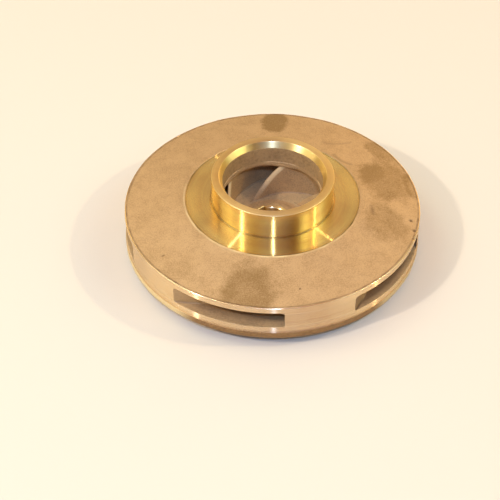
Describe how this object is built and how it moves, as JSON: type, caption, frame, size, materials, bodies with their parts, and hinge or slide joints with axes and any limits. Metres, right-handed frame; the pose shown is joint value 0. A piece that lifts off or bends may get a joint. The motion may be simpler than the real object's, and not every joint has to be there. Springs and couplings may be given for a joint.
{
  "type": "closed centrifugal pump impeller",
  "caption": "Closed bronze centrifugal pump impeller with a turned eye ring, two shrouds, backward-curved vanes and a keyed shaft hub.",
  "frame": {"origin": "on the shaft axis, at the back face of the hub that the impeller lies on", "axes": "+Z along the shaft axis, from the hub's back face towards the suction eye; +X to the right and +Y away from the viewer in the picture"},
  "size_m": [0.1184, 0.1184, 0.0353],
  "materials": {
    "turned_brass": "lathe-turned bronze, bright, with fine turning marks",
    "cast_face": "sand-cast bronze, dull tan, fine sandy grain with darker stains",
    "cast_passage": "sand-cast bronze inside the water passages, dull brown"
  },
  "bodies": {
    "root": {"eye_ring": "turned_brass", "front_shroud": "cast_face", "back_shroud": "cast_face", "hub_nose": "cast_passage", "hub_boss": "turned_brass", "vane_1": "cast_passage", "vane_2": "cast_passage", "vane_3": "cast_passage", "vane_4": "cast_passage", "vane_5": "cast_passage"}
  },
  "joints": []
}
